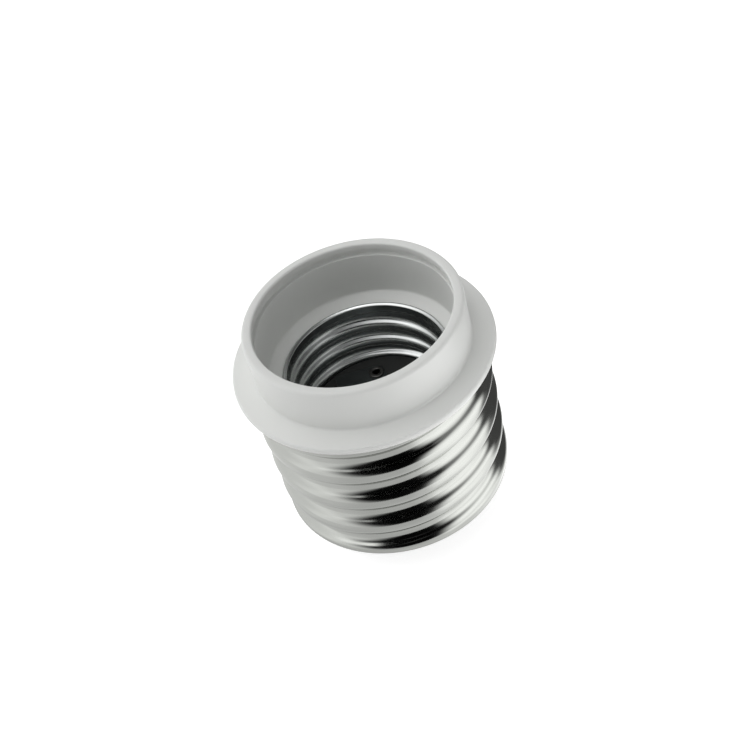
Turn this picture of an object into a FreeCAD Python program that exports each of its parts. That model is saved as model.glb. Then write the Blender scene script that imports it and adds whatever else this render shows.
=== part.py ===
"""Lamp socket adapter: an E27 lamp goes into the top, and the E40 shell goes into a holder.

The axis is Z, the origin is the middle of the tip contact's flat face, and the mouth opens upwards.
The viewer's side is -Y. All sizes are in millimetres.
"""
import FreeCAD, Part
import math
import os

V = FreeCAD.Vector

# Fits
SLIP = 0.05
SHANK_PLAY = 0.02
LIVE_CLEARANCE = 0.9

# Outer screw shell, a rolled knuckle thread
OUTER_CREST_RADIUS = 19.5
OUTER_PITCH = 6.35
OUTER_DEPTH = 1.80
OUTER_CREST_HEIGHT = 30.5
OUTER_SHEET = 0.3
OUTER_SHELL_HEIGHT = 28.1
OUTER_BAND_INSET = 0.7
OUTER_BAND_HEIGHT = 0.6
OUTER_BEAD_INSET = 0.15
OUTER_BEAD_HEIGHT = 1.0
OUTER_ROLL_INSET = 1.45
OUTER_LIP_THICKNESS = 0.5
OUTER_LIP_WIDTH = 0.8
OUTER_RUN_IN = 1.8
OUTER_RUN_OUT = 2.1

# Inner screw shell, the same thread form turned inside out
INNER_CREST_RADIUS = 12.2
INNER_PITCH = 3.629
INNER_DEPTH = 1.096
INNER_CREST_HEIGHT = 29.54
INNER_SHEET = 0.35
INNER_SHELL_DEPTH = 12.45
INNER_RUN_IN = 1.0
INNER_RUN_OUT = 1.2
INNER_LIP_RISE = 0.3
INNER_LIP_HEIGHT = 0.8
INNER_LIP_FLARE = 0.45
INNER_FLOOR_OPENING = 6.0

# Rows of the stacked sections in one pitch of either thread
ROWS_PER_PITCH = 5

# Collar
FLANGE_OVERHANG = 1.6
FLANGE_EDGE_THICKNESS = 0.75
FLANGE_THICKNESS = 1.46
FLANGE_BEVEL = 0.4
TUBE_WALL = 1.7
TUBE_HEIGHT = 7.44
MOUTH_RADIUS = 15.7
MOUTH_DEPTH = 10.0
LEDGE_DROP = 1.2
RIM_BEVEL = 0.45
RIM_INNER_BEVEL = 0.15
GROOVE_DEPTH = 0.75
GROOVE_TOP = 1.15
GROOVE_HEIGHT = 1.25
GROOVE_SLOPE = 0.3
WEB_THICKNESS = 3.0
SLEEVE_WALL = 3.35

# Base insulator and tip contact
TIP_RADIUS = 7.0
TIP_THICKNESS = 2.2
TIP_BEVEL = 0.8
TIP_STEM_RADIUS = 2.3
TIP_STEM_HEIGHT = 2.8
TIP_BORE = 1.0
SOLDER_DIMPLE = 1.9
SOLDER_DIMPLE_DEPTH = 0.9
SOLDER_RECESS = 0.1
SOLDER_FILL = 0.7
CONE_HEIGHT = 6.4
CONE_FOOT_MARGIN = 1.0
PLUG_RIM_HEIGHT = 1.6
SPIGOT_HEIGHT = 2.0
CHANNEL_RADIUS = 1.4

# Floor disc, eyelets, contact tongue and button
DISC_THICKNESS = 1.0
EYELET_CIRCLE = 8.27
EYELET_ANGLE = 82.4
EYELET_RADIUS = 1.0
EYELET_BORE = 0.6
EYELET_HEAD_RADIUS = 1.35
EYELET_HEAD_THICKNESS = 0.25
EYELET_HEAD_BEVEL = 0.12
TONGUE_THICKNESS = 0.35
TONGUE_RISE = 1.6
TONGUE_WIDTH = 5.0
ROOT_WIDTH = 8.7
ROOT_END_SLANT = 0.35
ROOT_CORNER = 0.7
ROOT_EAR = 1.6
ROOT_SHOULDER = 1.2
BEND_START = 5.4
BEND_END = 2.4
TONGUE_OVERHANG = 2.7
TONGUE_CORNER = 1.2
BUTTON_RADIUS = 1.9
BUTTON_HEIGHT = 0.9
BUTTON_BEVEL = 0.4
BUTTON_SHANK = 0.88
BUTTON_TAIL_RADIUS = 1.2
BUTTON_TAIL_HEIGHT = 0.25

# Straps
STRAP_THICKNESS = 0.3
STRAP_PAD_RADIUS = 2.0
CENTRE_STRAP_WIDTH = 1.8
CENTRE_LEG_WIDTH = 1.6
SIDE_STRAP_WIDTH = 3.0
SIDE_STRAP_LAP = 3.8
STRAP_SLOT_PLAY = 0.2

# Levels and radii that follow from the sizes above
shell_bottom = TIP_THICKNESS + CONE_HEIGHT
lip_top = shell_bottom + OUTER_LIP_THICKNESS
sleeve_bottom = lip_top + PLUG_RIM_HEIGHT
flange_bottom = shell_bottom + OUTER_SHELL_HEIGHT
flange_top = flange_bottom + FLANGE_THICKNESS
rim_top = flange_top + TUBE_HEIGHT
ledge_outer = rim_top - MOUTH_DEPTH
ledge_inner = ledge_outer - LEDGE_DROP
web_top = ledge_inner - INNER_SHELL_DEPTH
web_bottom = web_top - WEB_THICKNESS
disc_bottom = web_top + INNER_SHEET
disc_top = disc_bottom + DISC_THICKNESS
strap_bottom = web_bottom - STRAP_THICKNESS
tongue_flat = disc_top + TONGUE_RISE
inner_shell_radius = INNER_CREST_RADIUS + INNER_DEPTH + INNER_SHEET
socket_bore = inner_shell_radius + SLIP
outer_void_radius = OUTER_CREST_RADIUS - OUTER_DEPTH - OUTER_SHEET
lip_opening = outer_void_radius - OUTER_LIP_WIDTH
bead_radius = OUTER_CREST_RADIUS - OUTER_BEAD_INSET
sleeve_radius = outer_void_radius - SLIP
sleeve_bore = sleeve_radius - SLEEVE_WALL
flange_radius = OUTER_CREST_RADIUS + FLANGE_OVERHANG
tube_radius = MOUTH_RADIUS + TUBE_WALL
strap_drop = math.sqrt(sleeve_bore ** 2 - (SIDE_STRAP_WIDTH / 2) ** 2) - SLIP
strap_lap = math.sqrt(sleeve_radius ** 2 - (SIDE_STRAP_WIDTH / 2) ** 2)
strap_end = SOLDER_DIMPLE_DEPTH + SOLDER_FILL
stem_top = TIP_THICKNESS + TIP_STEM_HEIGHT
eyelet_angles = [EYELET_ANGLE + turn for turn in (0, 120, 240)]


def place(radius, angle, height=0.0):
    """Point at a radius and an angle in degrees about the axis."""
    turn = math.radians(angle)
    return V(radius * math.cos(turn), radius * math.sin(turn), height)


def turned(outline):
    """Solid turned about the axis from (radius, height) points."""
    points = [V(radius, 0, height) for radius, height in outline]
    return Part.Face(Part.makePolygon(points + points[:1])).revolve(V(0, 0, 0), V(0, 0, 1), 360)


def plate(outline, bottom, thickness):
    """Flat plate from (x, y, corner radius) points, with a tangent arc at each corner."""
    arcs = []
    for index, (x, y, radius) in enumerate(outline):
        corner = V(x, y, bottom)
        last = outline[index - 1]
        following = outline[(index + 1) % len(outline)]
        back = (V(last[0], last[1], bottom) - corner).normalize()
        ahead = (V(following[0], following[1], bottom) - corner).normalize()
        half = back.getAngle(ahead) / 2
        reach = radius / math.tan(half)
        middle = corner + (back + ahead).normalize() * (radius / math.sin(half) - radius)
        arcs.append((corner + back * reach, middle, corner + ahead * reach))
    edges = []
    for index, (start, middle, end) in enumerate(arcs):
        edges.append(Part.Arc(start, middle, end).toShape())
        edges.append(Part.makeLine(end, arcs[(index + 1) % len(arcs)][0]))
    return Part.Face(Part.Wire(edges)).extrude(V(0, 0, thickness))


def post(radius, bottom, top, centre=V(0, 0, 0)):
    """Upright cylinder between two heights."""
    return Part.makeCylinder(radius, top - bottom, V(centre.x, centre.y, bottom))


def knuckle_stack(rows, crest_height, pitch, side):
    """Knuckle thread as a stack of circles whose middles go round with the thread.

    A row is (height, radius, throw). With side 1 the crests point outwards and with side -1
    inwards, and crest_height is where a crest crosses +X. A right-hand thread rises anticlockwise.
    """
    sections = []
    for height, radius, throw in rows:
        turn = 2 * math.pi * (height - crest_height) / pitch
        middle = V(side * throw * math.cos(turn), side * throw * math.sin(turn), height)
        sections.append(Part.Wire([Part.makeCircle(radius, middle)]))
    return Part.makeLoft(sections, True, True)


def thread_rows(bottom, top, pitch, radius, throw):
    """Evenly spaced full-depth rows between two heights."""
    steps = max(1, round((top - bottom) * ROWS_PER_PITCH / pitch))
    step = (top - bottom) / steps
    return [(bottom + step * index, radius, throw) for index in range(steps + 1)]


def make_outer_screw_shell():
    """Rolled male shell: turned-in lip, bead, thread and a plain band under the flange."""
    throw = OUTER_DEPTH / 2
    mean = OUTER_CREST_RADIUS - throw
    rows = []
    for part in (0, 0.15, 0.5, 1):
        inset = OUTER_ROLL_INSET * (1 - part) ** 1.5
        rows.append((shell_bottom + part * OUTER_BEAD_HEIGHT, bead_radius - inset, 0))
    first = shell_bottom + OUTER_BEAD_HEIGHT + OUTER_RUN_IN
    last = flange_bottom - OUTER_BAND_HEIGHT - OUTER_RUN_OUT
    rows += thread_rows(first, last, OUTER_PITCH, mean, throw)
    band_radius = OUTER_CREST_RADIUS - OUTER_BAND_INSET
    rows.append((flange_bottom - OUTER_BAND_HEIGHT, band_radius, 0))
    rows.append((flange_bottom, band_radius, 0))
    body = knuckle_stack(rows, OUTER_CREST_HEIGHT, OUTER_PITCH, 1)
    void = post(outer_void_radius, lip_top, flange_bottom)
    void = void.fuse(post(lip_opening, shell_bottom, lip_top))
    return body.cut(void)


def make_inner_screw_shell():
    """Rolled female shell: flared lip, thread, and a bottom turned in to a flat ring."""
    throw = INNER_DEPTH / 2
    mean = INNER_CREST_RADIUS + throw
    top = ledge_inner + INNER_LIP_RISE
    lip_bottom = top - INNER_LIP_HEIGHT
    rows = [(disc_bottom, INNER_CREST_RADIUS + SLIP, 0), (disc_top, INNER_CREST_RADIUS + SLIP, 0)]
    rows += thread_rows(disc_top + INNER_RUN_IN, lip_bottom - INNER_RUN_OUT, INNER_PITCH, mean, throw)
    for part in (0, 0.7, 1):
        flare = INNER_LIP_FLARE * part ** 3
        rows.append((lip_bottom + part * INNER_LIP_HEIGHT, mean + flare, 0))
    void = knuckle_stack(rows, INNER_CREST_HEIGHT, INNER_PITCH, -1)
    shell = post(inner_shell_radius, web_top, top).cut(void)
    shell = shell.cut(post(INNER_FLOOR_OPENING, web_top, disc_bottom))
    for index, angle in enumerate(eyelet_angles):
        play = LIVE_CLEARANCE if index == 0 else SLIP
        shell = shell.cut(post(EYELET_RADIUS + play, web_top, disc_bottom, place(EYELET_CIRCLE, angle)))
    return shell


def eyelet_holes(bottom, top):
    """The three eyelet holes between two heights."""
    holes = [post(EYELET_RADIUS + SLIP, bottom, top, place(EYELET_CIRCLE, a)) for a in eyelet_angles]
    return Part.makeCompound(holes)


def make_collar():
    """White moulding: rim tube, flange and ledge, with the sleeve and web that carry both shells."""
    groove_top = rim_top - GROOVE_TOP
    groove_floor = groove_top - GROOVE_HEIGHT
    groove_radius = MOUTH_RADIUS + GROOVE_DEPTH
    body = turned([
        (0, web_bottom),
        (sleeve_bore, web_bottom),
        (sleeve_bore, sleeve_bottom),
        (sleeve_radius, sleeve_bottom),
        (sleeve_radius, flange_bottom),
        (flange_radius - FLANGE_BEVEL, flange_bottom),
        (flange_radius, flange_bottom + FLANGE_BEVEL),
        (flange_radius, flange_bottom + FLANGE_EDGE_THICKNESS),
        (flange_radius - FLANGE_BEVEL, flange_bottom + FLANGE_EDGE_THICKNESS + FLANGE_BEVEL),
        (tube_radius, flange_top),
        (tube_radius, rim_top - RIM_BEVEL),
        (tube_radius - RIM_BEVEL, rim_top),
        (MOUTH_RADIUS + RIM_INNER_BEVEL, rim_top),
        (MOUTH_RADIUS, rim_top - RIM_INNER_BEVEL),
        (MOUTH_RADIUS, groove_top),
        (groove_radius, groove_top - GROOVE_SLOPE),
        (groove_radius, groove_floor),
        (MOUTH_RADIUS, groove_floor),
        (MOUTH_RADIUS, ledge_outer),
        (socket_bore, ledge_inner),
        (socket_bore, web_top),
        (0, web_top),
    ])
    body = body.cut(eyelet_holes(web_bottom, web_top))
    width = SIDE_STRAP_WIDTH + 2 * STRAP_SLOT_PLAY
    notch_top = sleeve_bottom + SLIP + STRAP_THICKNESS + STRAP_SLOT_PLAY
    slot_top = sleeve_bottom + SIDE_STRAP_LAP + STRAP_SLOT_PLAY
    slot_floor = strap_lap - STRAP_THICKNESS - SLIP
    notch = radial_box(strap_drop - STRAP_THICKNESS, outer_void_radius, width, sleeve_bottom, notch_top)
    slot = radial_box(slot_floor, outer_void_radius, width, sleeve_bottom, slot_top)
    return body.cut(at_side_eyelet(notch.fuse(slot)))


def radial_box(inner, outer, width, bottom, top):
    """Box that runs outwards along +X between two radii."""
    return Part.makeBox(outer - inner, width, top - bottom, V(inner, -width / 2, bottom))


def at_side_eyelet(shape):
    """Turns a shape from +X to the side strap's eyelet."""
    shape = shape.copy()
    shape.rotate(V(0, 0, 0), V(0, 0, 1), eyelet_angles[1])
    return shape


def make_floor_disc():
    """Dark insulating disc that lies on the inner shell's turned-in ring."""
    disc = post(INNER_CREST_RADIUS - SLIP, disc_bottom, disc_top)
    return disc.cut(eyelet_holes(disc_bottom, disc_top))


def make_contact_tongue():
    """Sprung strip: a wide root plate on the floor disc, a bend, and a raised end on the axis."""
    ear = place(EYELET_CIRCLE, EYELET_ANGLE)
    right = ear.x + ROOT_EAR
    left = right - ROOT_WIDTH
    end = ear.y + ROOT_EAR + ROOT_END_SLANT
    half = TONGUE_WIDTH / 2
    shoulder = BEND_START + ROOT_SHOULDER
    tongue_top = tongue_flat + TONGUE_THICKNESS
    blank = plate([
        (left, shoulder, ROOT_CORNER),
        (left, end, ROOT_CORNER),
        (right, ear.y + ROOT_EAR, ROOT_EAR),
        (right, shoulder, ROOT_CORNER / 2),
        (half, BEND_START, ROOT_CORNER / 2),
        (half, -TONGUE_OVERHANG, TONGUE_CORNER),
        (-half, -TONGUE_OVERHANG, TONGUE_CORNER),
        (-half, BEND_START, ROOT_CORNER / 2),
    ], disc_top, tongue_top - disc_top)
    slope = math.atan2(TONGUE_RISE, BEND_START - BEND_END)
    lean = TONGUE_THICKNESS * math.tan(slope / 2)
    side = [
        (end, disc_top),
        (BEND_START, disc_top),
        (BEND_END, tongue_flat),
        (-TONGUE_OVERHANG, tongue_flat),
        (-TONGUE_OVERHANG, tongue_top),
        (BEND_END + lean, tongue_top),
        (BEND_START + lean, disc_top + TONGUE_THICKNESS),
        (end, disc_top + TONGUE_THICKNESS),
    ]
    bent = Part.Face(Part.makePolygon([V(left, y, z) for y, z in side + side[:1]]))
    tongue = bent.extrude(V(ROOT_WIDTH, 0, 0)).common(blank)
    tongue = tongue.cut(post(EYELET_RADIUS + SLIP, disc_top, tongue_flat, ear))
    return tongue.cut(post(BUTTON_SHANK + SHANK_PLAY, disc_top, tongue_top))


def make_contact_button():
    """Contact rivet on the tongue's free end, which the lamp's tip presses."""
    seat = tongue_flat + TONGUE_THICKNESS
    return turned([
        (0, tongue_flat - BUTTON_TAIL_HEIGHT),
        (BUTTON_TAIL_RADIUS, tongue_flat - BUTTON_TAIL_HEIGHT),
        (BUTTON_TAIL_RADIUS, tongue_flat),
        (BUTTON_SHANK, tongue_flat),
        (BUTTON_SHANK, seat),
        (BUTTON_RADIUS, seat),
        (BUTTON_RADIUS, seat + BUTTON_HEIGHT - BUTTON_BEVEL),
        (BUTTON_RADIUS - BUTTON_BEVEL, seat + BUTTON_HEIGHT),
        (0, seat + BUTTON_HEIGHT),
    ])


def make_eyelets():
    """Three tubular rivets through the floor: the first holds the tongue, the second the side strap."""
    heads = [disc_top + TONGUE_THICKNESS, disc_top, disc_top]
    tails = [strap_bottom, strap_bottom, web_bottom]
    solids = []
    for angle, head, tail in zip(eyelet_angles, heads, tails):
        eyelet = turned([
            (EYELET_BORE, tail - EYELET_HEAD_THICKNESS),
            (EYELET_HEAD_RADIUS, tail - EYELET_HEAD_THICKNESS),
            (EYELET_HEAD_RADIUS, tail),
            (EYELET_RADIUS, tail),
            (EYELET_RADIUS, head),
            (EYELET_HEAD_RADIUS, head),
            (EYELET_HEAD_RADIUS, head + EYELET_HEAD_THICKNESS - EYELET_HEAD_BEVEL),
            (EYELET_HEAD_RADIUS - EYELET_HEAD_BEVEL, head + EYELET_HEAD_THICKNESS),
            (EYELET_BORE, head + EYELET_HEAD_THICKNESS),
        ])
        eyelet.translate(place(EYELET_CIRCLE, angle))
        solids.append(eyelet)
    return Part.makeCompound(solids)


def strap_pad():
    """Round pad of a strap, with its eyelet hole, on +X."""
    centre = V(EYELET_CIRCLE, 0, 0)
    return post(STRAP_PAD_RADIUS, strap_bottom, web_bottom, centre)


def pad_hole():
    """Hole through a strap's pad."""
    return post(EYELET_RADIUS + SLIP, strap_bottom, web_bottom, V(EYELET_CIRCLE, 0, 0))


def make_centre_strap():
    """Strip from the tongue's eyelet along the web to the axis, then down into the tip contact."""
    half = STRAP_THICKNESS / 2
    run = radial_box(-half, EYELET_CIRCLE, CENTRE_STRAP_WIDTH, strap_bottom, web_bottom)
    leg = radial_box(-half, half, CENTRE_LEG_WIDTH, strap_end, web_bottom)
    strap = run.fuse([leg, strap_pad()]).removeSplitter().cut(pad_hole())
    strap.rotate(V(0, 0, 0), V(0, 0, 1), EYELET_ANGLE)
    return strap


def make_side_strap():
    """Strip from the second eyelet to the sleeve, down its bore, round its end and up outside."""
    width = SIDE_STRAP_WIDTH
    inside = strap_drop - STRAP_THICKNESS
    under = sleeve_bottom + SLIP
    run = radial_box(EYELET_CIRCLE, strap_drop, width, strap_bottom, web_bottom)
    drop = radial_box(inside, strap_drop, width, under, web_bottom)
    step = radial_box(inside, strap_lap, width, under, under + STRAP_THICKNESS)
    lap = radial_box(strap_lap - STRAP_THICKNESS, strap_lap, width, under, sleeve_bottom + SIDE_STRAP_LAP)
    strap = run.fuse([drop, step, lap, strap_pad()]).removeSplitter().cut(pad_hole())
    return at_side_eyelet(strap)


def make_base_insulator():
    """Cone that closes the outer shell's lower end, gripped by its turned-in lip."""
    spigot = strap_drop - STRAP_THICKNESS - SLIP
    top = sleeve_bottom + SPIGOT_HEIGHT
    stem = TIP_STEM_RADIUS + SLIP
    neck = lip_opening - SLIP
    return turned([
        (CHANNEL_RADIUS, top),
        (spigot, top),
        (spigot, sleeve_bottom),
        (sleeve_radius, sleeve_bottom),
        (sleeve_radius, lip_top),
        (neck, lip_top),
        (neck, shell_bottom),
        (TIP_RADIUS + CONE_FOOT_MARGIN, TIP_THICKNESS),
        (stem, TIP_THICKNESS),
        (stem, stem_top),
        (CHANNEL_RADIUS, stem_top),
    ])


def make_tip_contact():
    """Flat tip contact with a hollow stem and a dimple for the solder."""
    return turned([
        (SOLDER_DIMPLE, 0),
        (TIP_RADIUS - TIP_BEVEL, 0),
        (TIP_RADIUS, TIP_BEVEL),
        (TIP_RADIUS, TIP_THICKNESS),
        (TIP_STEM_RADIUS, TIP_THICKNESS),
        (TIP_STEM_RADIUS, stem_top),
        (TIP_BORE, stem_top),
        (TIP_BORE, SOLDER_DIMPLE_DEPTH),
    ])


def make_tip_solder():
    """Solder in the tip contact's dimple and bore, up to the strap's end."""
    slope = (SOLDER_DIMPLE - TIP_BORE) / SOLDER_DIMPLE_DEPTH
    return turned([
        (0, SOLDER_RECESS),
        (SOLDER_DIMPLE - slope * SOLDER_RECESS, SOLDER_RECESS),
        (TIP_BORE, SOLDER_DIMPLE_DEPTH),
        (TIP_BORE, strap_end),
        (0, strap_end),
    ])


SUBPARTS = {
    "collar": make_collar,
    "outer_screw_shell": make_outer_screw_shell,
    "inner_screw_shell": make_inner_screw_shell,
    "floor_disc": make_floor_disc,
    "contact_tongue": make_contact_tongue,
    "contact_button": make_contact_button,
    "eyelets": make_eyelets,
    "centre_strap": make_centre_strap,
    "side_strap": make_side_strap,
    "base_insulator": make_base_insulator,
    "tip_contact": make_tip_contact,
    "tip_solder": make_tip_solder,
}

os.makedirs("parts", exist_ok=True)
for name, make in SUBPARTS.items():
    shape = make()
    shape.exportStep("parts/" + name + ".step")
    print(name, len(shape.Solids), shape.isValid(), round(shape.Volume, 2))
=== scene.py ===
"""Finishes the lamp socket adapter: turned, rolled and stamped pieces, their surfaces, and the studio."""

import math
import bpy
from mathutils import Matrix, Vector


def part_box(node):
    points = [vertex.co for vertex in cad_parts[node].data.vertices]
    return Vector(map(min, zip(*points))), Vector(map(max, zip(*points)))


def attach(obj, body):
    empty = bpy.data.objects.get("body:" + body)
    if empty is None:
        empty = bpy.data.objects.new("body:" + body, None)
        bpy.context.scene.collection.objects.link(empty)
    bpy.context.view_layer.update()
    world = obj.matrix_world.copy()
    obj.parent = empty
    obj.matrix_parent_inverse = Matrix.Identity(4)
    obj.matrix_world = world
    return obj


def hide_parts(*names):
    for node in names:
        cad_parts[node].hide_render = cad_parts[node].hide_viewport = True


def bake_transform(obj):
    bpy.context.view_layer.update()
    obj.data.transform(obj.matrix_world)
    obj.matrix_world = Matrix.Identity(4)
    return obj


bl_info = {
    "name": "Lamp Socket Adapter",
    "version": (1, 0, 0),
    "blender": (4, 5, 0),
    "location": "View3D > Sidebar > Adapter",
    "description": "Models and finishes the pieces of a lamp socket adapter",
    "category": "Object",
}

import bmesh
import bpy
from bpy.props import FloatProperty, FloatVectorProperty, IntProperty, PointerProperty
from mathutils import Vector

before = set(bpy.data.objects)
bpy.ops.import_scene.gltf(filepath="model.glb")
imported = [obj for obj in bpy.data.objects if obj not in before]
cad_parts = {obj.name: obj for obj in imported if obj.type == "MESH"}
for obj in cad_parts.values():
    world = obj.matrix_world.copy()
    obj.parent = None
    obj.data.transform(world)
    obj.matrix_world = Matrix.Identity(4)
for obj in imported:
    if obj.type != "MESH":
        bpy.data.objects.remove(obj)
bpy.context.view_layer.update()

MM = 0.001
WELD = 0.002 * MM
NEAR = 0.01 * MM
ROUND_SEGMENTS = 5
DRILL_SIDES = 48
EYELET_TURNS = 64
RIVET_TURNS = 96
BEND_STEPS = 16
THIRD_TURN = math.radians(120)
SMOOTH_ANGLE = math.radians(40)
BREAK_ANGLE = math.radians(60)
CLOUD_RANGE = (0.3, 0.7)

SHELL_LOW, SHELL_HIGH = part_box("outer_screw_shell")
COLLAR_LOW, COLLAR_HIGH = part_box("collar")
SOCKET_LOW, SOCKET_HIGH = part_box("inner_screw_shell")
TONGUE_LOW, TONGUE_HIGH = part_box("contact_tongue")
BUTTON_LOW, BUTTON_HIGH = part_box("contact_button")
TIP_LOW, TIP_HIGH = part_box("tip_contact")
SOLDER_LOW, SOLDER_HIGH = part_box("tip_solder")
EYELET_LOW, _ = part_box("eyelets")
_, DISC_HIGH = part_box("floor_disc")
_, STRAP_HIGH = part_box("centre_strap")
_, BASE_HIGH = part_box("base_insulator")


def length(name, size, description):
    """A length property, given in millimetres."""
    return FloatProperty(name=name, default=size * MM, unit="LENGTH", precision=5, description=description)


def degrees(name, size, description):
    """An angle property, given in degrees."""
    return FloatProperty(name=name, default=math.radians(size), subtype="ANGLE", description=description)


def amount(name, default, description):
    """A plain number."""
    return FloatProperty(name=name, default=default, min=0, description=description)


def faces(name, default, description):
    """A number of faces."""
    return IntProperty(name=name, default=default, min=2, description=description)


def tint(name, default, description):
    """A colour property."""
    return FloatVectorProperty(
        name=name, default=default, min=0, max=1, subtype="COLOR", description=description
    )


def position(name, place, description):
    """A place in the frame, given in millimetres."""
    place = [part * MM for part in place]
    return FloatVectorProperty(name=name, default=place, subtype="TRANSLATION", description=description)


class CollarSizes(bpy.types.PropertyGroup):
    """White moulding."""

    mouth_radius: length("Mouth radius", 15.7, "Inside radius of the rim tube")
    tube_radius: length("Tube radius", 17.4, "Outside radius of the rim tube")
    tube_height: length("Tube height", 7.44, "Height of the rim tube above the flange")
    mouth_depth: length("Mouth depth", 10.0, "Depth from the rim down to the ledge")
    ledge_drop: length("Ledge drop", 1.2, "Fall of the sloping ledge")
    socket_bore: length("Socket bore", 13.696, "Radius of the bore that holds the socket shell")
    groove_top: length("Groove top", 1.15, "Depth of the groove's upper edge under the rim")
    groove_height: length("Groove height", 1.25, "Height of the groove inside the mouth")
    groove_depth: length("Groove depth", 0.75, "How far the groove is cut into the tube")
    groove_slope: length("Groove slope", 0.3, "Slope of the groove's ceiling")
    flange_edge: length("Flange edge", 1.15, "Thickness of the flange at its edge")
    rim_rounding: length("Rim rounding", 0.6, "Rounding of the rim's outer edge")
    lip_rounding: length("Lip rounding", 0.35, "Rounding of the rim's inner edge")
    flange_rounding: length("Flange rounding", 0.45, "Rounding of the flange's edges")
    root_rounding: length("Root rounding", 0.35, "Fillet where the tube meets the flange")
    ledge_rounding: length("Ledge rounding", 0.24, "Fillet where the tube meets the ledge")
    small_rounding: length("Small rounding", 0.12, "Rounding of the groove and the hidden edges")
    sleeve_radius: length("Sleeve radius", 17.35, "Outside radius of the hidden sleeve")
    sleeve_bore: length("Sleeve bore", 14.0, "Inside radius of the hidden sleeve")
    web_top: length("Web top", 21.95, "Height of the floor that carries the socket shell")
    web_bottom: length("Web bottom", 18.95, "Underside of that floor")
    turns: faces("Turns", 224, "Faces around the collar")


class ShellSizes(bpy.types.PropertyGroup):
    """Rolled outer screw shell."""

    crest_radius: length("Crest radius", 19.5, "Radius over the thread's crests")
    pitch: length("Pitch", 6.35, "Rise of one turn of the thread")
    arc: length("Arc", 1.85, "Radius of the thread's crests and grooves")
    crest_height: length("Crest height", 30.5, "Height of one crest on +X")
    thread_top: length("Thread top", 34.0, "Where the full thread ends above")
    top_fade: length("Top fade", 2.5, "Length of the run-out above")
    thread_bottom: length("Thread bottom", 11.4, "Where the full thread ends below")
    band_radius: length("Band radius", 18.8, "Plain band under the flange")
    bead_radius: length("Bead radius", 19.35, "Bead round the lower edge")
    bead_height: length("Bead height", 1.0, "Height of the bead above the lower edge")
    void_radius: length("Void radius", 17.4, "Inside radius of the shell")
    lip_opening: length("Lip opening", 16.6, "Opening of the turned-in lip")
    lip_thickness: length("Lip thickness", 0.5, "Thickness of the turned-in lip")
    lip_rounding: length("Lip rounding", 0.1, "Rounding of the turned-in lip")
    rows: faces("Rows", 15, "Rows of faces up the wall, squared")
    turns: faces("Turns", 240, "Faces around the shell")


class SocketSizes(bpy.types.PropertyGroup):
    """Rolled socket shell, with its thread turned inwards."""

    crest_radius: length("Crest radius", 12.2, "Radius inside the thread's crests")
    pitch: length("Pitch", 3.629, "Rise of one turn of the thread")
    arc: length("Arc", 1.025, "Radius of the thread's crests and grooves")
    crest_height: length("Crest height", 29.54, "Height of one crest on +X")
    thread_top: length("Thread top", 32.6, "Where the full thread ends above")
    top_fade: length("Top fade", 0.7, "Length of the run-out above")
    run_out: degrees("Run-out", 50, "Angle in which the last crest fades")
    thread_bottom: length("Thread bottom", 24.2, "Where the full thread ends below")
    bottom_fade: length("Bottom fade", 0.9, "Length of the run-out below")
    band_radius: length("Band radius", 13.0, "Plain band above the thread")
    outside_radius: length("Outside radius", 13.646, "Outside radius of the shell")
    lip_radius: length("Lip radius", 13.42, "Inside radius of the flared lip")
    lip_height: length("Lip height", 0.8, "Height of the flared lip")
    lip_fall: length("Lip fall", 0.22, "Fall of the lip's slope to the band")
    lip_rounding: length("Lip rounding", 0.12, "Rounding of the lip's outer edge")
    lip_edge: length("Lip edge", 0.08, "Rounding of the lip's inner edge")
    small_rounding: length("Small rounding", 0.1, "Rounding under the lip and at the foot")
    ring_thickness: length("Ring thickness", 0.35, "Thickness of the turned-in ring")
    ring_opening: length("Ring opening", 6.0, "Hole in the turned-in ring")
    rows: faces("Rows", 12, "Rows of faces up the wall, squared")
    turns: faces("Turns", 224, "Faces around the shell")


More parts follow.
